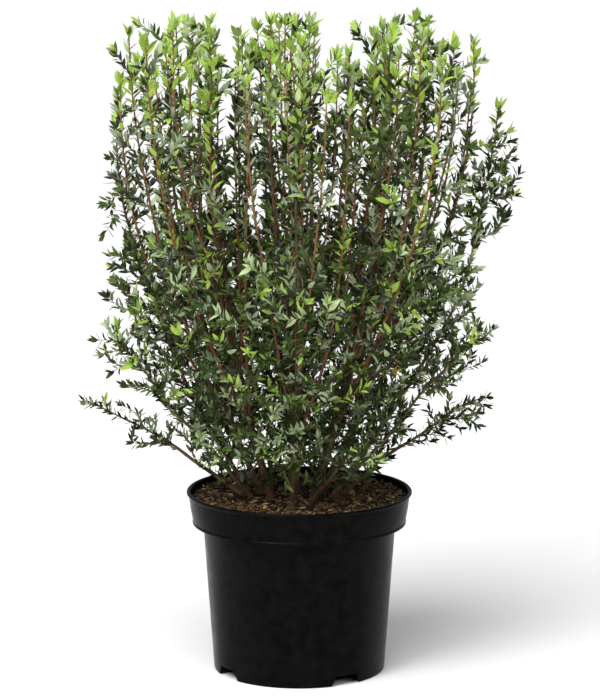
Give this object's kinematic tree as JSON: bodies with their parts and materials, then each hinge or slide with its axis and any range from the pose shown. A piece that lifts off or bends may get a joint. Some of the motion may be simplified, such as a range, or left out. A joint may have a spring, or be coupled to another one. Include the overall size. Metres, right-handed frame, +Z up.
{
  "type": "silver sheen tea tree in a nursery pot",
  "caption": "Bushy evergreen shrub with many slender upright stems and small narrow leaves, in a round black plastic nursery pot.",
  "frame": {"origin": "centre of the pot's flat underside", "axes": "+Z up along the pot's axis, -Y towards the front of the plant, +X to its right"},
  "size_m": [0.5554, 0.469, 0.814],
  "materials": {
    "pot_plastic": "moulded black plastic, slightly glossy",
    "potting_mix": "moist bark and fibre compost",
    "bark": "rough red brown bark",
    "foliage": "small satin green leaves with a silver sheen"
  },
  "bodies": {
    "root": {"foliage_far_left": "foliage", "foliage_far_right": "foliage", "foliage_heart": "foliage", "foliage_low_back": "foliage", "foliage_low_front": "foliage", "foliage_low_left": "foliage", "foliage_low_right": "foliage", "foliage_mid_left": "foliage", "foliage_mid_right": "foliage", "foliage_middle_back": "foliage", "foliage_middle_back_left": "foliage", "foliage_middle_back_right": "foliage", "foliage_middle_front": "foliage", "foliage_middle_front_left": "foliage", "foliage_middle_front_right": "foliage", "foliage_middle_left": "foliage", "foliage_middle_right": "foliage", "foliage_skirt_back": "foliage", "foliage_skirt_back_left": "foliage", "foliage_skirt_back_right": "foliage", "foliage_skirt_front": "foliage", "foliage_skirt_front_left": "foliage", "foliage_skirt_front_right": "foliage", "foliage_skirt_left": "foliage", "foliage_skirt_right": "foliage", "foliage_top_back": "foliage", "foliage_top_back_left": "foliage", "foliage_top_back_right": "foliage", "foliage_top_centre": "foliage", "foliage_top_front": "foliage", "foliage_top_front_left": "foliage", "foliage_top_front_right": "foliage", "foliage_top_left": "foliage", "foliage_top_right": "foliage", "pot": "pot_plastic", "potting_mix": "potting_mix", "stem_back": "bark", "stem_back_left": "bark", "stem_back_right": "bark", "stem_centre": "bark", "stem_far_left": "bark", "stem_far_right": "bark", "stem_front": "bark", "stem_front_left": "bark", "stem_front_right": "bark", "stem_left": "bark", "stem_low_back": "bark", "stem_low_front": "bark", "stem_low_left": "bark", "stem_low_right": "bark", "stem_mid_left": "bark", "stem_mid_right": "bark", "stem_right": "bark"}
  },
  "joints": []
}
